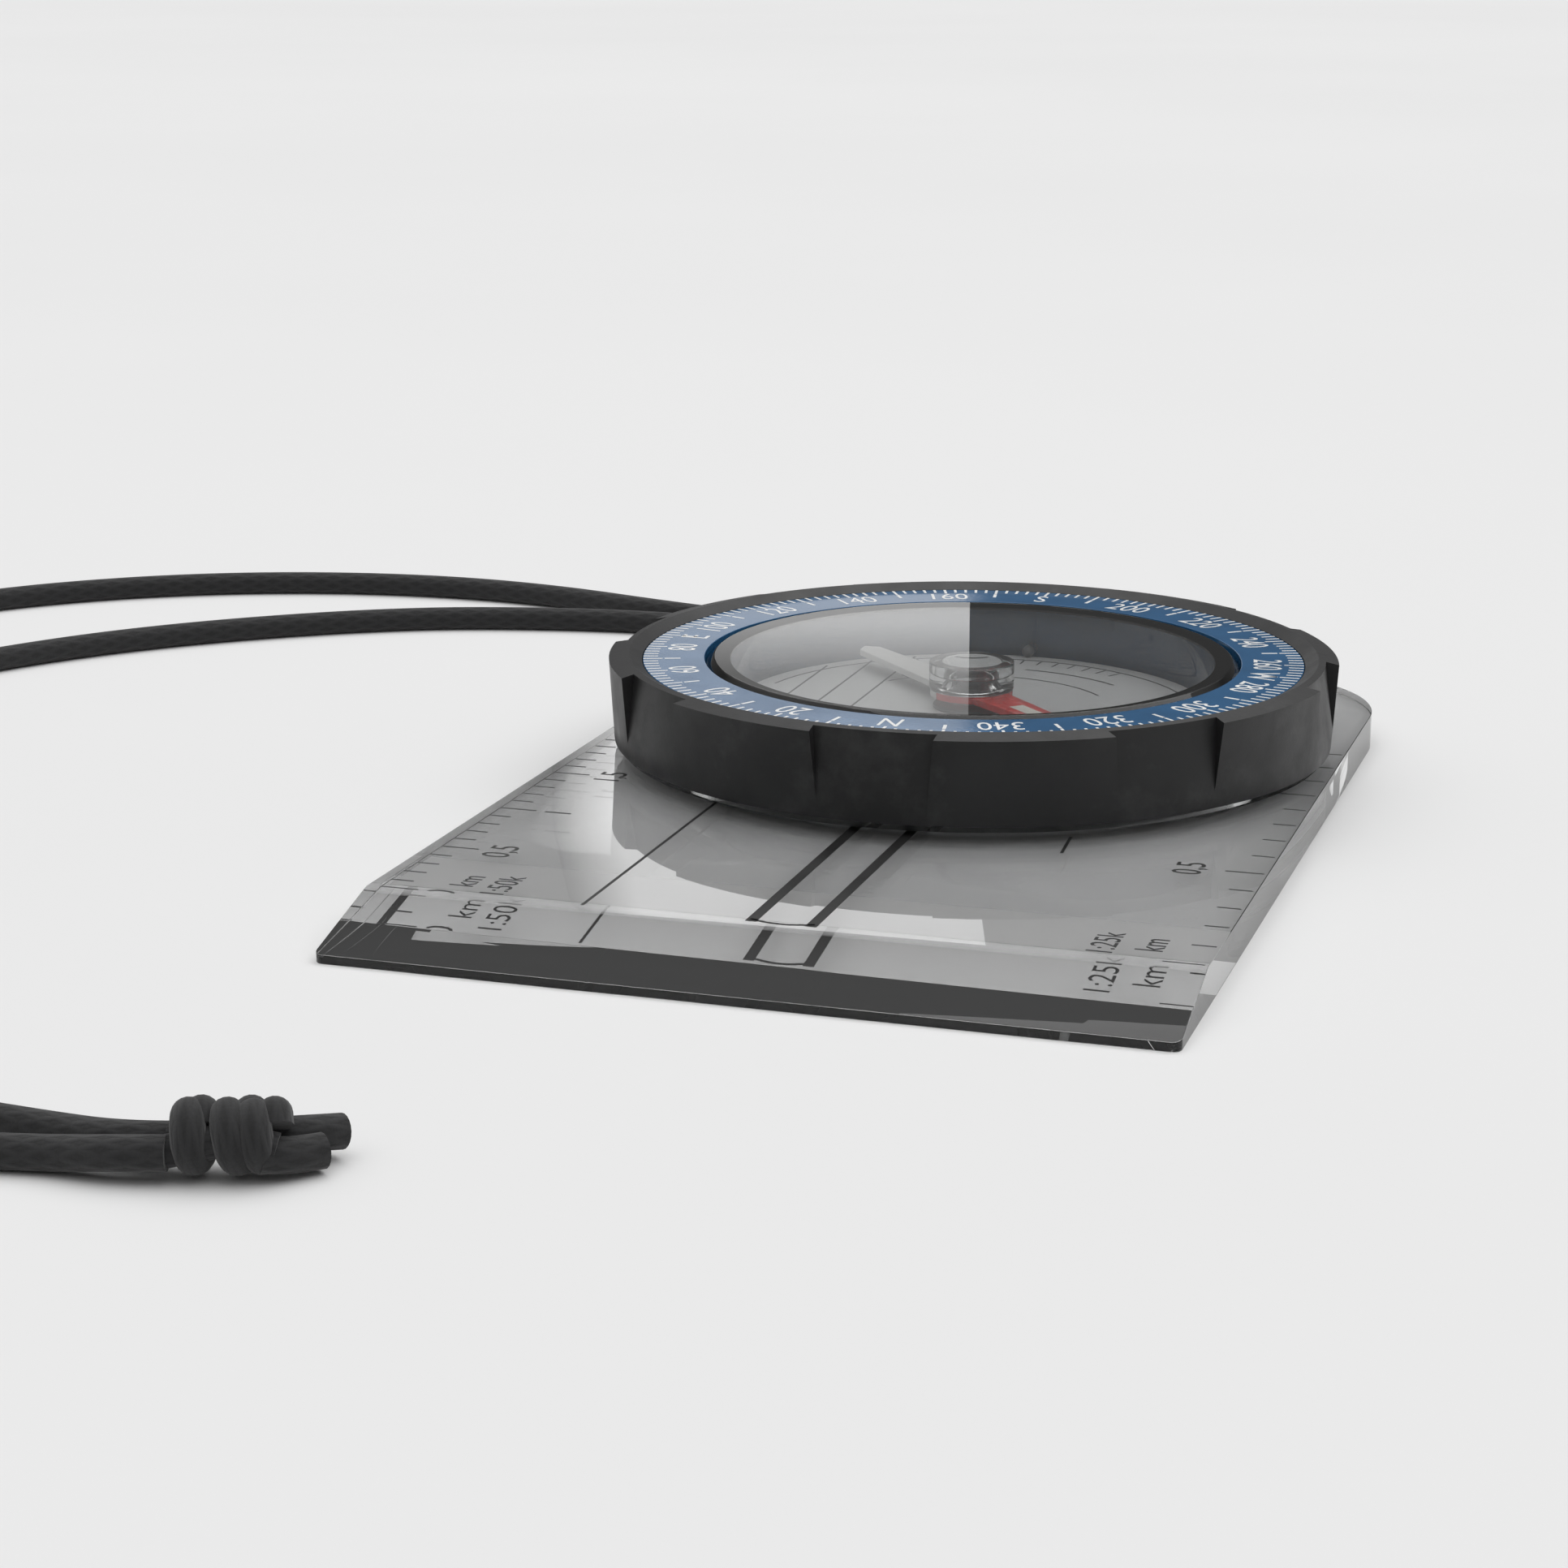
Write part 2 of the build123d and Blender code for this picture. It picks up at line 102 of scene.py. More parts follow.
def relief(material, source, depth, strength=0.5):
    """Bump from a 0..1 value, depth in millimetres."""
    nodes, links = material.node_tree.nodes, material.node_tree.links
    bump = nodes.new("ShaderNodeBump")
    bump.inputs["Distance"].default_value = depth * MM
    bump.inputs["Strength"].default_value = strength
    links.new(source, bump.inputs["Height"])
    links.new(bump.outputs["Normal"], shader_of(material).inputs["Normal"])


def wire(material, source, socket):
    material.node_tree.links.new(source, shader_of(material).inputs[socket])


def make_acrylic(name, tint):
    """Clear acrylic with a trace of haze and a slow ripple in its faces."""
    made = finish(name, Base_Color=(*tint, 1), Roughness=0.0, IOR=1.49, Transmission_Weight=1.0)
    haze = noise(made, 900.0, 3.0)
    wire(made, spread(made, haze.outputs["Fac"], 0.0, 0.02, (0.5, 0.85)), "Roughness")
    wave = noise(made, 60.0, 2.0)
    relief(made, wave.outputs["Fac"], 0.004, 0.06)
    return made


def make_black_plastic():
    """Black moulded plastic with a fine grain and a few paler rubbed places."""
    made = finish("black_plastic", IOR=1.5)
    smudge = noise(made, 95.0, 9.0, 0.68)
    fresh, rubbed = (0.0145, 0.0145, 0.0150), (0.060, 0.060, 0.060)
    wire(made, ramp(made, smudge.outputs["Fac"], fresh, rubbed, (0.56, 0.86)), "Base Color")
    sheen = noise(made, 260.0, 6.0, 0.6)
    wire(made, spread(made, sheen.outputs["Fac"], 0.38, 0.56), "Roughness")
    grain = noise(made, 5200.0, 2.0)
    relief(made, grain.outputs["Fac"], 0.02, 0.30)
    return made


def make_moulded(name, colour, rough, grain_scale=3500.0, depth=0.01, tone=0.10):
    """A moulded or printed plastic: small changes of tone and gloss over a fine grain."""
    made = finish(name, IOR=1.5)
    cloud = noise(made, 220.0, 5.0)
    dark = tuple(c * (1 - tone) for c in colour)
    light = tuple(min(1.0, c * (1 + tone)) for c in colour)
    wire(made, ramp(made, cloud.outputs["Fac"], dark, light), "Base Color")
    wire(made, spread(made, cloud.outputs["Fac"], rough * 0.8, rough * 1.2), "Roughness")
    grain = noise(made, grain_scale, 2.0)
    relief(made, grain.outputs["Fac"], depth, 0.25)
    return made


def make_metal(name, colour, rough):
    """Bare metal, a little darker and rougher in its scratches."""
    made = finish(name, Metallic=1.0)
    scratch = noise(made, 1500.0, 4.0)
    dark = tuple(c * 0.85 for c in colour)
    wire(made, ramp(made, scratch.outputs["Fac"], dark, colour), "Base Color")
    wire(made, spread(made, scratch.outputs["Fac"], rough * 0.7, rough * 1.4), "Roughness")
    relief(made, scratch.outputs["Fac"], 0.003, 0.2)
    return made


STRANDS = 8.0


def make_braid():
    """Matte braided cord, painted darker in its hollows as painted shade. The braid's own relief
    is in its UV map: U along, V round.
    """
    made = finish("black_cord", IOR=1.45, Specular_IOR_Level=0.25,
                  Sheen_Weight=0.22, Sheen_Roughness=0.6)
    nodes, links = made.node_tree.nodes, made.node_tree.links
    flat = nodes.new("ShaderNodeUVMap")
    split = nodes.new("ShaderNodeSeparateXYZ")
    links.new(flat.outputs["UV"], split.inputs["Vector"])

    def strands(sign):
        """Ridges that wind round the cord, to the left or to the right."""
        lean = nodes.new("ShaderNodeMath")
        lean.operation = "MULTIPLY_ADD"
        links.new(split.outputs["Y"], lean.inputs[0])
        lean.inputs[1].default_value = sign * STRANDS
        links.new(split.outputs["X"], lean.inputs[2])
        turns = nodes.new("ShaderNodeMath")
        turns.operation = "MULTIPLY"
        turns.inputs[1].default_value = math.tau
        links.new(lean.outputs[0], turns.inputs[0])
        wave = nodes.new("ShaderNodeMath")
        wave.operation = "SINE"
        links.new(turns.outputs[0], wave.inputs[0])
        return wave.outputs[0]

    over = nodes.new("ShaderNodeMath")
    over.operation = "MAXIMUM"
    links.new(strands(1.0), over.inputs[0])
    links.new(strands(-1.0), over.inputs[1])
    weave = spread(made, over.outputs[0], 0.0, 1.0, (-0.4, 1.0))
    fuzz = noise(made, 6000.0, 3.0)
    mixed = nodes.new("ShaderNodeMath")
    mixed.operation = "MULTIPLY_ADD"
    links.new(fuzz.outputs["Fac"], mixed.inputs[0])
    mixed.inputs[1].default_value = 0.5
    links.new(weave, mixed.inputs[2])
    # The cord is painted darker in the hollows between its strands than on their crests: painted
    # shade in the weave's hollows.
    hollow_painted_shade, crest = (0.013, 0.013, 0.0135), (0.021, 0.021, 0.022)
    wire(made, ramp(made, weave, hollow_painted_shade, crest, (0.1, 0.9)), "Base Color")
    wire(made, spread(made, fuzz.outputs["Fac"], 0.72, 0.92), "Roughness")
    relief(made, mixed.outputs[0], 0.07, 0.4)
    return made


clear = make_acrylic("clear_acrylic", (0.996, 0.999, 0.999))
clear_dome = make_acrylic("clear_capsule", (0.992, 0.996, 0.996))
black = make_black_plastic()
blue = make_moulded("blue_plastic", (0.022, 0.105, 0.235), 0.10)
card_grey = make_moulded("white_card", (0.66, 0.67, 0.67), 0.5, tone=0.03)
dark_grey = make_moulded("grey_plastic", (0.060, 0.062, 0.064), 0.38)
holder_grey = make_moulded("holder_grey", (0.15, 0.155, 0.16), 0.35)
white_paint = make_moulded("white_paint", (0.78, 0.78, 0.76), 0.35, tone=0.04)
red_paint = make_moulded("red_paint", (0.72, 0.035, 0.028), 0.28, tone=0.06)
lume = make_moulded("luminous", (0.82, 0.83, 0.76), 0.6, tone=0.05)
white_ink = make_moulded("white_ink", (0.80, 0.80, 0.79), 0.35, tone=0.05)
red_ink = make_moulded("red_ink", (0.55, 0.03, 0.035), 0.4, tone=0.08)
black_ink = make_moulded("black_ink", (0.012, 0.012, 0.012), 0.45, tone=0.2)
bright_steel = make_metal("bright_steel", (0.62, 0.62, 0.63), 0.25)
magnet_steel = make_metal("magnet_steel", (0.16, 0.16, 0.17), 0.45)
glide_white = make_moulded("glide_plastic", (0.70, 0.70, 0.68), 0.4)
sapphire = finish("sapphire", Base_Color=(0.80, 0.25, 0.30, 1), Roughness=0.05, IOR=1.76,
                  Transmission_Weight=0.9)
relief(sapphire, noise(sapphire, 800.0).outputs["Fac"], 0.002, 0.1)
braid = make_braid()


# ---------------------------------------------------------------- making pieces
def show(name, mesh, body, slot, *materials):
    """An object for a finished mesh, riding on a body."""
    piece = bpy.data.objects.new(name, mesh)
    bpy.context.scene.collection.objects.link(piece)
    for material in materials:
        mesh.materials.append(material)
    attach(piece, body)
    return piece


def as_mesh(bm, name, sharp=40.0):
    """Closes a bmesh into a smooth-shaded mesh with its sharp edges marked."""
    mesh = bpy.data.meshes.new(name)
    bm.to_mesh(mesh)
    bm.free()
    mesh.shade_smooth()
    mesh.set_sharp_from_angle(angle=math.radians(sharp))
    return mesh


def merged_copy(node):
    """A bmesh of a CAD node, with its doubles merged and its flat faces joined."""
    bm = bmesh.new()
    bm.from_mesh(NODES[node].data)
    bmesh.ops.remove_doubles(bm, verts=bm.verts, dist=1e-6)
    bmesh.ops.dissolve_limit(bm, angle_limit=math.radians(0.8), verts=bm.verts, edges=bm.edges)
    return bm


SHARP_TURN = math.radians(30.0)


def round_edges(bm, width, segments=3):
    """Bevels every edge whose faces turn more than SHARP_TURN."""
    sharp = [e for e in bm.edges if len(e.link_faces) == 2 and e.calc_face_angle(0) > SHARP_TURN]
    bmesh.ops.bevel(bm, geom=sharp, offset=width * MM, offset_type="OFFSET", affect="EDGES",
                    segments=segments, profile=0.5, material=-1, clamp_overlap=True,
                    loop_slide=True)


def cut_off(bm, point, normal, **which):
    """Cuts a bmesh by a plane, clears one side and closes the cut."""
    cut = bmesh.ops.bisect_plane(bm, geom=bm.verts[:] + bm.edges[:] + bm.faces[:],
                                 plane_co=point, plane_no=normal, **which)
    rim = [e for e in cut["geom_cut"] if isinstance(e, bmesh.types.BMEdge)]
    bmesh.ops.holes_fill(bm, edges=rim, sides=0)


def finished(node, body, slot, material, width, segments=3, name=None):
    """A CAD node's copy with merged faces and rounded edges, standing for that node."""
    bm = merged_copy(node)
    round_edges(bm, width, segments)
    name = name or node + "_finish"
    piece = show(name, as_mesh(bm, name), body, slot, material)
    even = piece.modifiers.new("even_normals", "WEIGHTED_NORMAL")
    even.keep_sharp = True
    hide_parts(node)


def dress(node, material):
    """Gives a CAD node that stays its own material."""
    mesh = NODES[node].data
    mesh.materials.clear()
    mesh.materials.append(material)


# ---------------------------------------------------------------- baseplate
finished("baseplate", "plate", "clear_acrylic", clear, 0.14, name="clear_baseplate")
dress("glide_ring", glide_white)
dress("snap_ring", black)

# ---------------------------------------------------------------- dial and capsule
finished("dial_ring", "dial", "black_plastic", black, 0.16, name="grip_ring")
finished("degree_scale_ring", "dial", "blue_plastic", blue, 0.06, segments=2, name="degree_scale")
finished("capsule_cup", "dial", "clear_acrylic", clear_dome, 0.08, segments=2, name="capsule_bowl")
finished("capsule_lid", "dial", "clear_acrylic", clear_dome, 0.10, name="capsule_window")
dress("declination_ring", clear_dome)
dress("orienting_card", card_grey)
dress("fill_plug", holder_grey)
finished("pivot_base", "dial", "grey_plastic", dark_grey, 0.08, segments=2, name="pivot_foot")
finished("pivot_post", "dial", "grey_plastic", dark_grey, 0.05, segments=2, name="pivot_cone")
dress("pivot_pin", bright_steel)


# ---------------------------------------------------------------- printing
def slab(bm, width, length, turn, middle):
    """A flat ink mark, width across and length along, turned about Z in degrees."""
    size = Matrix.Diagonal((width * MM, length * MM, INK * MM, 1))
    spin = Matrix.Rotation(math.radians(turn), 4, "Z")
    place = Matrix.Translation(Vector(middle) * MM) @ spin
    bmesh.ops.create_cube(bm, size=1.0, matrix=place @ size)


# A capital's height, as a share of the type's own size.
CAPITAL = 0.73


def lettering(bm, words, height, squeeze, middle, up):
    """Flat letters centred at middle, with their tops towards the direction `up`, in degrees."""
    curve = bpy.data.curves.new("letters", "FONT")
    curve.body = words
    curve.align_x = "CENTER"
    curve.align_y = "CENTER"
    curve.size = height * MM / CAPITAL
    curve.extrude = INK * MM / 2
    curve.resolution_u = 3
    holder = bpy.data.objects.new("letters", curve)
    bpy.context.scene.collection.objects.link(holder)
    bpy.context.view_layer.update()
    graph = bpy.context.evaluated_depsgraph_get()
    mesh = bpy.data.meshes.new_from_object(holder.evaluated_get(graph))
    turn = Matrix.Rotation(math.radians(up - 90), 4, "Z")
    narrow = Matrix.Diagonal((squeeze, 1, 1, 1))
    mesh.transform(Matrix.Translation(Vector(middle) * MM) @ turn @ narrow)
    bm.from_mesh(mesh)
    bpy.data.objects.remove(holder)
    bpy.data.curves.remove(curve)
    bpy.data.meshes.remove(mesh)


def at_bearing(bearing, radius, z):
    """A point on the dial, from a compass bearing clockwise from the front."""
    angle = math.radians(90 - bearing)
    return (radius * math.cos(angle), DIAL_Y + radius * math.sin(angle), z)


def printed(name, bm, body, slot, material):
    """Shows a bmesh of ink marks as one piece."""
    bmesh.ops.remove_doubles(bm, verts=bm.verts, dist=1e-8)
    bmesh.ops.recalc_face_normals(bm, faces=bm.faces)
    show(name, as_mesh(bm, name, 30.0), body, slot, material)


# The plate's ink is on its flat top, and stops just short of the bevel's crease.
ON_PLATE = PLATE_TOP + INK / 2
CREASE_Y = 34.65
CREASE_GAP = 0.1
ZERO_Y = 34.85
ZERO_TICK_Y = 34.5
TICK = 0.17


def tick(bm, side, edge, end, y):
    """One tick of a map scale, from x = edge inwards to x = end, on one side of the plate."""
    slab(bm, edge - end, TICK, 0, (side * (edge + end) / 2, y, ON_PLATE))


# Each map scale: side, ticks, their spacing, the ticks' outer end, a long one's and a short
# one's inner end. Every fifth tick is long, and so is the zero tick at the crease.
MAP_SCALES = ((1, 26, 2.0, 25.8, 23.2, 24.25), (-1, 13, 4.0, 26.45, 23.95, 24.95))
bm = bmesh.new()
for side, ticks, spacing, edge, long_end, short_end in MAP_SCALES:
    for step in range(1, ticks + 1):
        end = long_end if step % 5 == 0 else short_end
        tick(bm, side, edge, end, ZERO_Y - spacing * step)
for side, _, _, edge, long_end, _ in MAP_SCALES:
    tick(bm, side, edge, long_end, ZERO_TICK_Y)
for words, height, x, y in (
    ("0", 2.0, 21.55, 34.6), ("km", 1.7, 20.95, 31.75), ("1:50k", 1.7, 18.45, 32.15),
    ("0,5", 2.0, 21.55, 24.85), ("1", 2.0, 21.5, 14.9), ("1,5", 2.0, 21.5, 4.9),
    ("1:25k", 1.7, -20.1, 32.1), ("km", 1.8, -22.85, 31.6), ("0,5", 2.0, -21.75, 14.95),
):
    lettering(bm, words, height, 0.85, (x, y, ON_PLATE), 0)
line_back, line_front = -36.0, 34.4
THIN, BOLD = 0.22, 0.72
for x, width in ((12.3, THIN), (1.38, BOLD), (-2.43, BOLD)):
    slab(bm, width, line_front - line_back, 0, (x, (line_front + line_back) / 2, ON_PLATE))
slab(bm, THIN, 4.0, 4.3, (-12.95, 12.1, ON_PLATE))
# The bowed end between the two bold lines.
for step in range(-4, 5):
    slab(bm, 0.52, 0.26, -4.0 * step, (-0.52 + 0.45 * step, 34.42 - 0.025 * step * step, ON_PLATE))
cut_off(bm, (0, (CREASE_Y - CREASE_GAP) * MM, 0), (0, 1, 0), dist=1e-8, clear_outer=True)
printed("plate_printing", bm, "plate", "black_plastic", black_ink)

# The degree scale: a mark every 2 degrees, and a numeral or letter every 20.
bm = bmesh.new()
LIFT = SCALE_TOP + INK / 2
NUMERAL_RADIUS = 21.2
NUMERAL_HEIGHT = 2.15
for step in range(180):
    inner = 22.5 if step % 5 == 0 else 22.85
    slab(bm, 0.2, 23.9 - inner, -2.0 * step, at_bearing(2.0 * step, (23.9 + inner) / 2, LIFT))
for step in range(18):
    odd = 10.0 + 20.0 * step
    slab(bm, 0.24, 1.15, -odd, at_bearing(odd, 21.78, LIFT))
    even = 20 * step
    word = {0: "N", 180: "S"}.get(even, str(even))
    spot = at_bearing(even, NUMERAL_RADIUS, LIFT)
    lettering(bm, word, NUMERAL_HEIGHT, 0.76, spot, 90 - even)
for bearing, word in ((90, "E"), (270, "W")):
    spot = at_bearing(bearing, NUMERAL_RADIUS, LIFT)
    lettering(bm, word, NUMERAL_HEIGHT, 0.8, spot, 90 - bearing)
printed("degree_marks", bm, "dial", "white_card", white_ink)

# The declination ticks: one a degree, 40 to each side, a little under the lid.
UNDER_LID = LID_BOTTOM - 0.17
bm = bmesh.new()
for step in range(-40, 41):
    length = 0.95 if step % 5 == 0 else 0.55
    slab(bm, 0.10, length, -1.0 * step, at_bearing(1.0 * step, 18.2 + length / 2, UNDER_LID))
printed("declination_marks", bm, "dial", "red_paint", red_ink)


def ink_arc(bm, radius, width, start, stop, z):
    """A thin printed arc about the dial's middle, between two bearings."""
    steps = max(2, round(abs(stop - start) / 6))
    overlap = 1.04
    reach = math.radians(abs(stop - start) / steps) * radius * overlap
    for step in range(steps):
        bearing = start + (stop - start) * (step + 0.5) / steps
        slab(bm, reach, width, -bearing, at_bearing(bearing, radius, z))


# The orienting card's print: arcs towards south, meridian lines on one side and a bar.
ON_CARD = CARD_TOP + INK / 2
PRINT_RADIUS = 17.0
bm = bmesh.new()
for x in (8.4, 11.2, 14.0):
    half = math.sqrt(PRINT_RADIUS ** 2 - x * x)
    slab(bm, 0.16, 2 * half, 0, (x, DIAL_Y, ON_CARD))
slab(bm, 0.6, 4.2, -5.4, (-5.2, DIAL_Y + 9.5, ON_CARD))
ink_arc(bm, 13.0, 0.22, 140, 176, ON_CARD)
ink_arc(bm, 13.0, 0.22, 184, 220, ON_CARD)
ink_arc(bm, 10.2, 0.18, 128, 232, ON_CARD)
ink_arc(bm, 16.2, 0.16, 100, 260, ON_CARD)
for bearing in range(150, 211, 5):
    slab(bm, 0.14, 1.2, -bearing, at_bearing(bearing, 15.4, ON_CARD))
printed("card_print", bm, "dial", "black_plastic", black_ink)


# ---------------------------------------------------------------- needle
def arm(name, keep, material):
    """Half of the needle's blade, cut across the hub."""
    bm = merged_copy("needle_blade")
    heading = math.radians(NEEDLE_HEADING)
    along = Vector((math.cos(heading), math.sin(heading), 0))
    cut_off(bm, (0, DIAL_Y * MM, 0), along * keep, clear_inner=True)
    bmesh.ops.recalc_face_normals(bm, faces=bm.faces)
    round_edges(bm, 0.05, segments=2)
    return show(name, as_mesh(bm, name), "needle", "red_paint", material)


north = arm("needle_north", 1.0, red_paint)
south = arm("needle_south", -1.0, white_paint)
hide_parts("needle_blade")
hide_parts("needle_blade")
dress("needle_luminous_inlay", lume)
dress("needle_magnet", magnet_steel)
finished("hub_cap", "needle", "clear_acrylic", clear_dome, 0.12, name="hub_cap_clear")
finished("jewel_holder", "needle", "grey_plastic", holder_grey, 0.08, segments=2,
         name="jewel_seat")
dress("jewel_bearing", sapphire)


# ---------------------------------------------------------------- lanyard
CORD_Z = 1.0
CORD_TOP_Z = 3.75


def from_exit(x, y, z=CORD_Z):
    """A point of the lanyard, from the place where the cord leaves the plate."""
    return (18.5 + x, -43.58 + y, z)


# The overhand knot's own frame: along its axis, to the left of it, and up.
KNOT_AT = Vector(from_exit(-2.9, 119.2, 2.2))
KNOT_TURN = Matrix.Rotation(math.radians(197.5), 3, "Z")


def on_knot(along, left, up):
    """A point in the knot's own frame, brought into the part's."""
    return tuple(KNOT_AT + KNOT_TURN @ Vector((along, left, up)))


BACK_STRAND = [
    from_exit(0.0, 0.0, CORD_TOP_Z), from_exit(0.0, -3.4, 3.3), from_exit(1.5, -7.3, 2.0),
    *(from_exit(x, y) for x, y in (
        (6.1, -9.8), (14.1, -11.7), (22.8, -13.9), (31.4, -16.5), (40.2, -17.8), (48.9, -17.5),
        (57.7, -15.6), (65.9, -12.3), (73.5, -7.4), (80.4, -0.8), (86.9, 9.4), (92.3, 21.8),
        (96.3, 36.2), (98.5, 51.6), (98.3, 67.4), (94.9, 83.0), (87.5, 98.0), (76.1, 110.6),
        (61.5, 119.8), (45.7, 125.0), (30.7, 126.4), (19.1, 124.8), (11.1, 122.5), (5.9, 121.4),
    )),
    on_knot(-5.4, -0.975, -0.6), on_knot(-2.8, -0.975, -0.6),
]
FRONT_STRAND = [
    from_exit(0.0, 0.0),
    *(from_exit(x, y) for x, y in (
        (0.4, -2.7), (4.1, -5.7), (9.9, -7.7), (16.9, -8.8), (24.3, -8.6), (31.9, -7.1),
        (39.1, -4.9), (45.9, -1.3), (52.3, 3.3), (58.3, 8.6), (63.7, 14.8), (68.5, 22.4),
        (73.3, 33.2), (77.3, 46.2), (79.5, 60.6), (78.3, 76.0), (72.7, 90.4), (63.3, 102.2),
        (50.7, 110.6), (36.9, 115.4), (23.7, 117.4), (14.1, 117.8), (7.3, 118.4),
    )),
    on_knot(-5.4, 0.975, -0.6), on_knot(-2.8, 0.975, -0.6),
]
HOLE_Y = 7.58
BEND = 2.6
BIGHT = [
    from_exit(0, 0), from_exit(0, HOLE_Y - BEND), from_exit(0, HOLE_Y, CORD_Z + 0.1),
    from_exit(0, HOLE_Y, CORD_TOP_Z - 0.1), from_exit(0, HOLE_Y - BEND, CORD_TOP_Z),
    from_exit(0, 0, CORD_TOP_Z),
]


def line_through(name, points):
    """A smooth NURBS line along a route's control points, as an object."""
    curve = bpy.data.curves.new(name, "CURVE")
    curve.dimensions = "3D"
    curve.resolution_u = 10
    spline = curve.splines.new("NURBS")
    spline.points.add(len(points) - 1)
    for point, place in zip(spline.points, points):
        point.co = (*(Vector(place) * MM), 1)
    spline.order_u = 3
    spline.use_endpoint_u = True
    piece = bpy.data.objects.new(name, curve)
    bpy.context.scene.collection.objects.link(piece)
    return piece


def centreline(points):
    """The smooth line's own points, in metres, and its length."""
    thin = line_through("route", points)
    bpy.context.view_layer.update()
    graph = bpy.context.evaluated_depsgraph_get()
    mesh = bpy.data.meshes.new_from_object(thin.evaluated_get(graph))
    path = [v.co.copy() for v in mesh.vertices]
    bpy.data.meshes.remove(mesh)
    curve = thin.data
    bpy.data.objects.remove(thin)
    bpy.data.curves.remove(curve)
    return path, sum((b - a).length for a, b in zip(path, path[1:]))


ROUND = 20
BRAID_PITCH = 2.3


def sleeve(bm, path, radius):
    """Sweeps a ring of vertices along a path, closed at both ends.

    The UV map counts braid pitches along the cord and turns round it.
    """
    uv = bm.loops.layers.uv.verify()
    side = Vector((0, 0, 1))
    rows, along, gone = [], [], 0.0
    for index, here in enumerate(path):
        before, after = path[max(index - 1, 0)], path[min(index + 1, len(path) - 1)]
        ahead = (after - before).normalized()
        side = (side - ahead * side.dot(ahead)).normalized()
        across = ahead.cross(side)
        if index:
            gone += (here - path[index - 1]).length
        rows.append([bm.verts.new(here + radius * (side * math.cos(a) + across * math.sin(a)))
                     for a in (math.tau * k / ROUND for k in range(ROUND))])
        along.append(gone / (BRAID_PITCH * MM))
    for row, (low, high) in enumerate(zip(rows, rows[1:])):
        for k in range(ROUND):
            beside = (k + 1) % ROUND
            face = bm.faces.new((low[k], low[beside], high[beside], high[k]))
            near_u, far_u = along[row], along[row + 1]
            marks = ((near_u, k), (near_u, k + 1), (far_u, k + 1), (far_u, k))
            for loop, (u, turn) in zip(face.loops, marks):
                loop[uv].uv = (u, turn / ROUND)
    for row in (rows[0], rows[-1]):
        bm.faces.new(row)


def cord_piece(name, points, *nodes):
    """A length of cord along a route, standing for its CAD nodes."""
    path, length = centreline(points)
    bm = bmesh.new()
    sleeve(bm, path, CORD_RADIUS)
    bmesh.ops.recalc_face_normals(bm, faces=bm.faces)
    piece = show(name, as_mesh(bm, name, 60.0), "plate", "black_cord", braid)
    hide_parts(*nodes)
    return piece, path, length


back, back_path, back_length = cord_piece("lanyard_back", BACK_STRAND, "lanyard_back_strand")
front, front_path, front_length = cord_piece("lanyard_front", FRONT_STRAND, "lanyard_front_strand")
cord_piece("lanyard_bend", BIGHT, "lanyard_bight")


# The overhand knot: the strands' two cores side by side, and three windings round them.
# Each core point is a place along the knot and a height. Each winding has its start along
# the knot, its lean per step and its reach from the knot's axis.
CORE = ((-2.9, -0.6), (-1.5, -0.3), (0.0, 0.0), (1.5, -0.2), (2.7, -0.5))
CORE_APART = 0.72
WINDINGS = ((-1.85, 0.05, 1.16), (0.05, 0.10, 1.16), (1.35, 0.09, 1.10))
WIND_STEPS = 14
TUCKED_IN = 0.6
WIDER = 1.06


def knot_turns():
    """The knot's cores and windings, as one mesh of slightly squeezed cord."""
    bm = bmesh.new()
    for side in (-1, 1):
        path, _ = centreline([on_knot(along, side * CORE_APART, up) for along, up in CORE])
        sleeve(bm, path, CORD_RADIUS * 0.92)
    for start, lean, reach in WINDINGS:
        wind = []
        for step in range(WIND_STEPS + 1):
            angle = math.tau * step / 12 + 0.9
            out = reach if 0 < step < WIND_STEPS else TUCKED_IN
            left, up = out * WIDER * math.cos(angle), out * math.sin(angle)
            wind.append(on_knot(start + lean * step, left, up))
        path, _ = centreline(wind)
        sleeve(bm, path, CORD_RADIUS * 0.98)
    bmesh.ops.recalc_face_normals(bm, faces=bm.faces)
    return as_mesh(bm, "knot_turns", 60.0)


knot = show("knot_turns", knot_turns(), "plate", "black_cord", braid)
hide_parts("lanyard_knot")

# The two cut ends lie against each other. The longer one is cut on a slant.
bm = bmesh.new()
for tail in (
    [(1.9, 0.7, -0.3), (3.2, 1.2, -0.4), (4.3, 1.95, -0.6), (5.5, 2.85, -0.85)],
    [(1.9, -0.9, -0.7), (3.0, -0.5, -0.9), (4.0, 0.2, -1.05), (4.8, 0.75, -1.1)],
):
    path, _ = centreline([on_knot(*place) for place in tail])
    sleeve(bm, path, CORD_RADIUS)
bmesh.ops.recalc_face_normals(bm, faces=bm.faces)
tails = show("cut_ends", as_mesh(bm, "cut_ends", 60.0), "plate", "black_cord", braid)
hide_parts("lanyard_tails")


# ---------------------------------------------------------------- studio
scene = bpy.context.scene
scene.view_settings.view_transform = "Standard"
camera = bpy.data.objects.new("camera", bpy.data.cameras.new("camera"))
camera.data.sensor_width = 36.0
camera.data.lens = 76.85
camera.data.clip_start = 0.005
camera.location = (-0.0600, 0.2181, 0.0627)
camera.rotation_euler = (math.radians(90 - 14.866), 0, math.radians(197.876))
scene.collection.objects.link(camera)
scene.camera = camera


# The floor touches the plate along one strip behind its bevel, and lies a hair under it
# elsewhere. Where they touch, light from the floor enters the acrylic and reaches the bevel.
# The strip is painted a darker grey, as painted shade under the plate, so that it doesn't show as
# a band through the plate's flat top.
FLOOR_REACH = 6000
HAIR = 0.01
STRIP_LOW, STRIP_HIGH = (-26.4, 25.2), (26.4, 31.7)


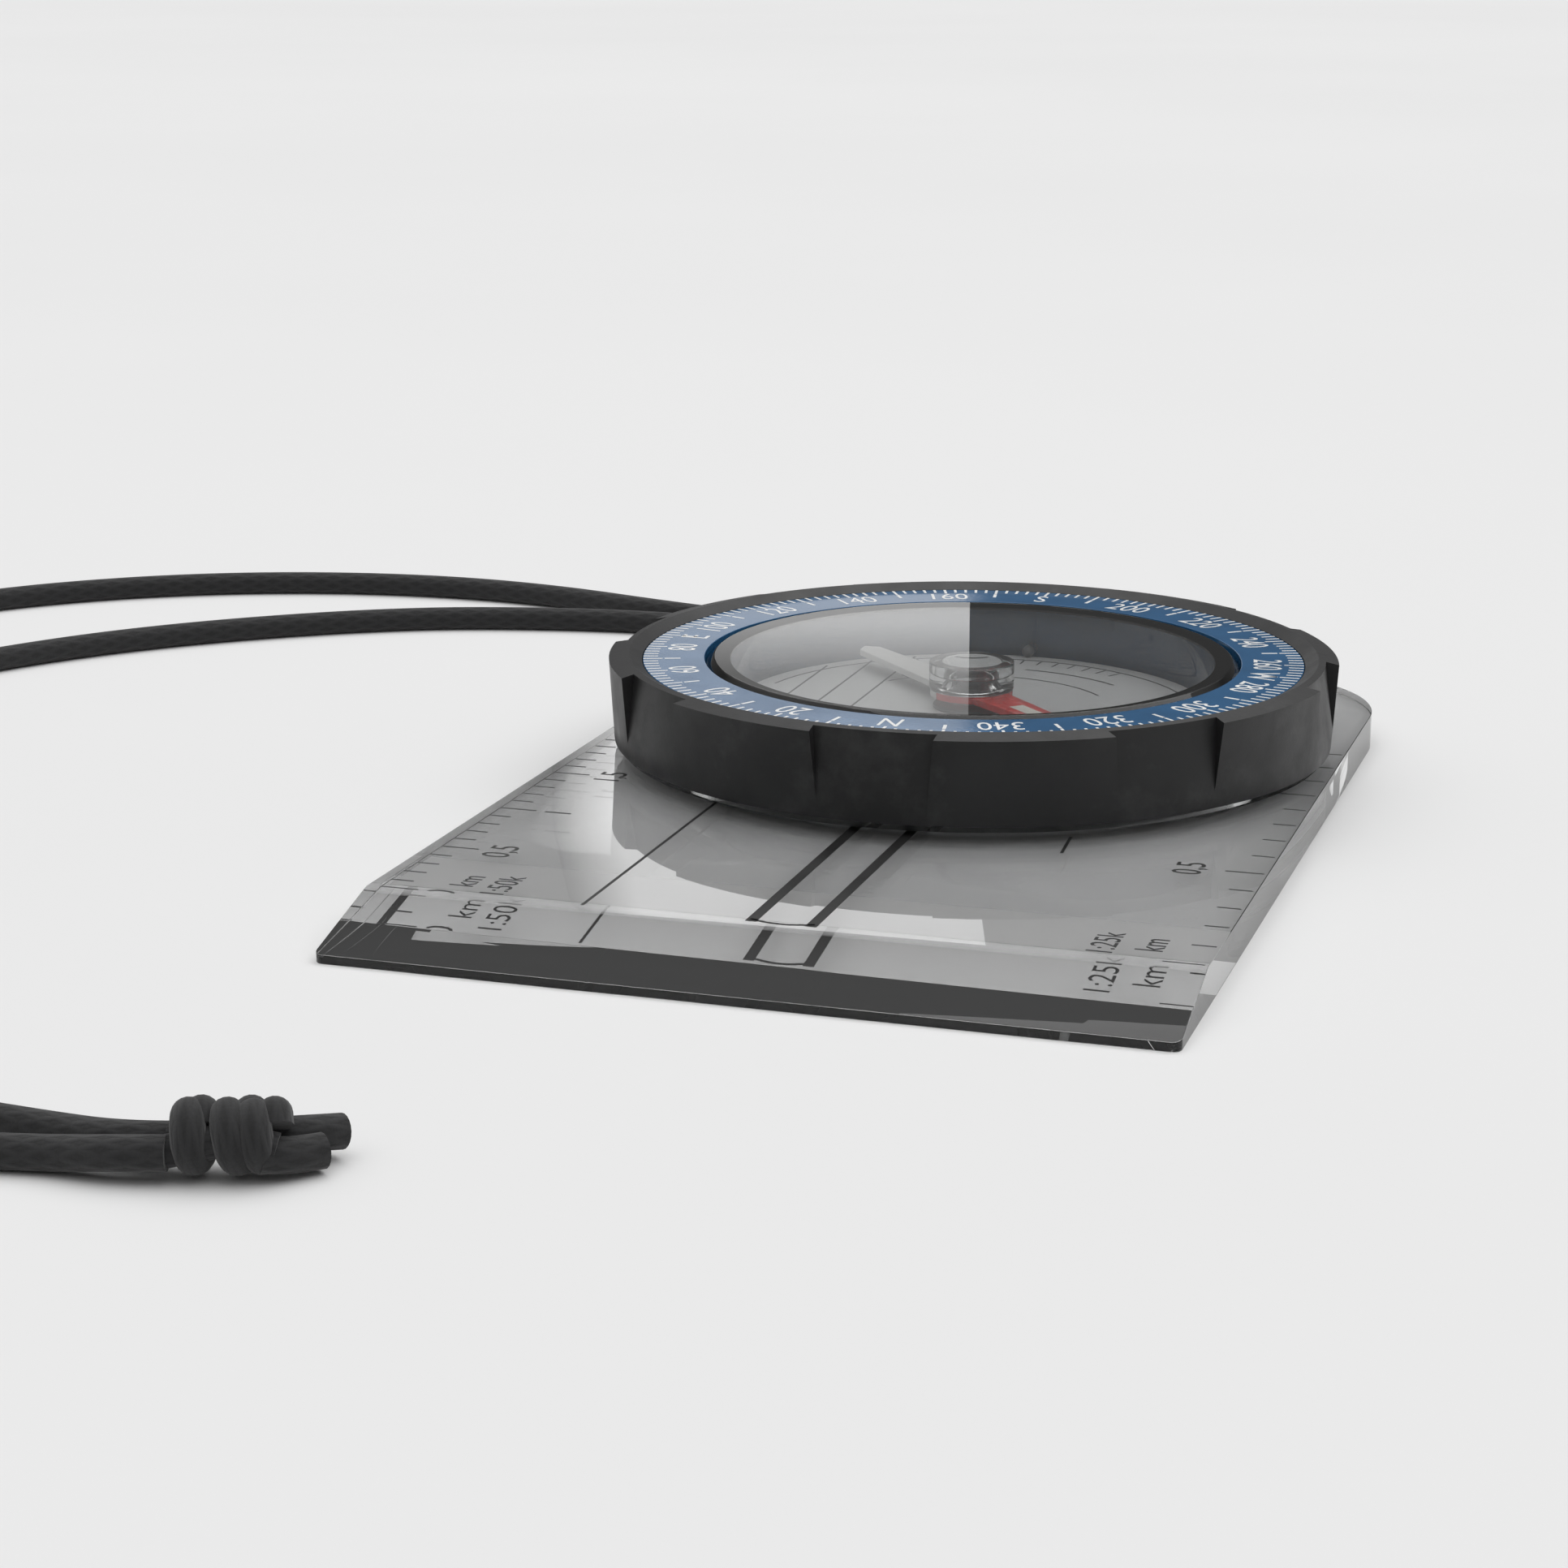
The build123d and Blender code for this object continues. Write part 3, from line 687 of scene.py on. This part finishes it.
def floor_sheet(bm, low, high, z):
    """A flat rectangle between two corners, at one height."""
    corners = ((low[0], low[1]), (high[0], low[1]), (high[0], high[1]), (low[0], high[1]))
    bm.faces.new([bm.verts.new(Vector((x, y, z)) * MM) for x, y in corners])


def floor_finish(name, low, high):
    """A matt studio floor, faintly clouded between two greys."""
    made = finish(name, Roughness=0.9, Specular_IOR_Level=0.1)
    cloud = noise(made, 3.0)
    wire(made, ramp(made, cloud.outputs["Fac"], (low,) * 3, (high,) * 3), "Base Color")
    return made


bm = bmesh.new()
floor_sheet(bm, (-FLOOR_REACH, -FLOOR_REACH), (FLOOR_REACH, FLOOR_REACH), -HAIR)
floor_sheet(bm, STRIP_LOW, STRIP_HIGH, HAIR)
bm.faces.ensure_lookup_table()
bm.faces[1].material_index = 1
floor_mesh = bpy.data.meshes.new("studio_floor")
bm.to_mesh(floor_mesh)
bm.free()
floor = bpy.data.objects.new("studio_floor", floor_mesh)
scene.collection.objects.link(floor)
floor_mesh.materials.append(floor_finish("studio_floor", 0.795, 0.81))
# The second grey is darker: painted shade on the floor under the plate's front.
floor_mesh.materials.append(floor_finish("floor_painted_shade_under_plate", 0.655, 0.67))

sun = bpy.data.objects.new("overhead", bpy.data.lights.new("overhead", "SUN"))
sun.data.energy = 1.45
sun.data.angle = math.radians(80)
sun.rotation_euler = (math.radians(12), math.radians(-14), 0)
scene.collection.objects.link(sun)

# A tall softbox behind the plate, seen only as a reflection: faded towards its left side and
# sharp on its right. `look` is the camera's heading along the floor, `sideways` its right.
PANEL_AWAY = 1.70
FADE = 0.022 * PANEL_AWAY
look = Vector((0.3070, -0.9517, 0))
sideways = Vector((look.y, -look.x, 0))
eye = Vector((camera.location.x, camera.location.y, 0))
bm = bmesh.new()
bmesh.ops.create_grid(bm, x_segments=1, y_segments=1, size=0.5)
panel_left, panel_right = -0.075 * PANEL_AWAY, 0.0567 * PANEL_AWAY
panel_low, panel_top = 0.12, 0.62
facing = Matrix((sideways, Vector((0, 0, 1)), -look)).transposed().to_4x4()
lift = Vector((0, 0, (panel_low + panel_top) / 2))
middle = eye + look * PANEL_AWAY + sideways * (panel_left + panel_right) / 2 + lift
size = Matrix.Diagonal((panel_right - panel_left, panel_top - panel_low, 1, 1))
bmesh.ops.transform(bm, matrix=Matrix.Translation(middle) @ facing @ size, verts=bm.verts)
panel_mesh = bpy.data.meshes.new("softbox")
bm.to_mesh(panel_mesh)
bm.free()
panel = bpy.data.objects.new("softbox", panel_mesh)
panel.visible_camera = False
panel.visible_diffuse = False
panel.visible_shadow = False
scene.collection.objects.link(panel)

# The softbox's brightness by height: each pair is a share of the way from BAND_LOW to
# BAND_TOP, in metres above the floor, and the level there.
BAND_LOW, BAND_TOP = 0.30, 0.45
LEVELS = ((0.0, 1.0), (0.14, 0.95), (0.32, 0.42), (0.52, 0.38), (0.68, 1.65), (1.0, 1.65))
softbox_light = bpy.data.materials.new("softbox")
softbox_light.use_nodes = True
nodes, links = softbox_light.node_tree.nodes, softbox_light.node_tree.links
nodes.clear()
place = nodes.new("ShaderNodeTexCoord")
across = nodes.new("ShaderNodeVectorMath")
across.operation = "DOT_PRODUCT"
across.inputs[1].default_value = sideways
links.new(place.outputs["Object"], across.inputs[0])
edge = nodes.new("ShaderNodeMapRange")
start = eye.dot(sideways) + panel_left
edge.inputs["From Min"].default_value = start
edge.inputs["From Max"].default_value = start + FADE
edge.inputs["To Min"].default_value = 0.0
edge.inputs["To Max"].default_value = 1.0
links.new(across.outputs["Value"], edge.inputs["Value"])
rise = nodes.new("ShaderNodeSeparateXYZ")
links.new(place.outputs["Object"], rise.inputs["Vector"])
fall = nodes.new("ShaderNodeMapRange")
fall.inputs["From Min"].default_value = BAND_LOW
fall.inputs["From Max"].default_value = BAND_TOP
links.new(rise.outputs["Z"], fall.inputs["Value"])
bands = nodes.new("ShaderNodeValToRGB")
stops = bands.color_ramp.elements
for share, _ in LEVELS[1:-1]:
    stops.new(share)
for stop, (share, level) in zip(stops, LEVELS):
    stop.position = share
    stop.color = (level, level, level, 1)
links.new(fall.outputs["Result"], bands.inputs["Fac"])
power = nodes.new("ShaderNodeMath")
power.operation = "MULTIPLY"
links.new(edge.outputs["Result"], power.inputs[0])
links.new(bands.outputs["Color"], power.inputs[1])
glow = nodes.new("ShaderNodeEmission")
links.new(power.outputs[0], glow.inputs["Strength"])
end = nodes.new("ShaderNodeOutputMaterial")
links.new(glow.outputs[0], end.inputs["Surface"])
panel_mesh.materials.append(softbox_light)

# The studio: dim near the horizon, bright overhead. The camera itself sees the floor's own white.
world = bpy.data.worlds.new("studio")
scene.world = world
world.use_nodes = True
nodes, links = world.node_tree.nodes, world.node_tree.links
sky = nodes["Background"]
place = nodes.new("ShaderNodeTexCoord")
height = nodes.new("ShaderNodeSeparateXYZ")
links.new(place.outputs["Generated"], height.inputs["Vector"])
dome = nodes.new("ShaderNodeValToRGB")
for stop, (share, level) in zip(dome.color_ramp.elements, ((0.30, 0.10), (0.75, 0.80))):
    stop.position = share
    stop.color = (level, level, level, 1)
links.new(height.outputs["Z"], dome.inputs["Fac"])
links.new(dome.outputs["Color"], sky.inputs["Color"])
seen = nodes.new("ShaderNodeBackground")
seen.inputs["Color"].default_value = (0.79, 0.79, 0.79, 1)
path_kind = nodes.new("ShaderNodeLightPath")
blend = nodes.new("ShaderNodeMixShader")
links.new(path_kind.outputs["Is Camera Ray"], blend.inputs["Fac"])
links.new(sky.outputs[0], blend.inputs[1])
links.new(seen.outputs[0], blend.inputs[2])
links.new(blend.outputs[0], nodes["World Output"].inputs["Surface"])
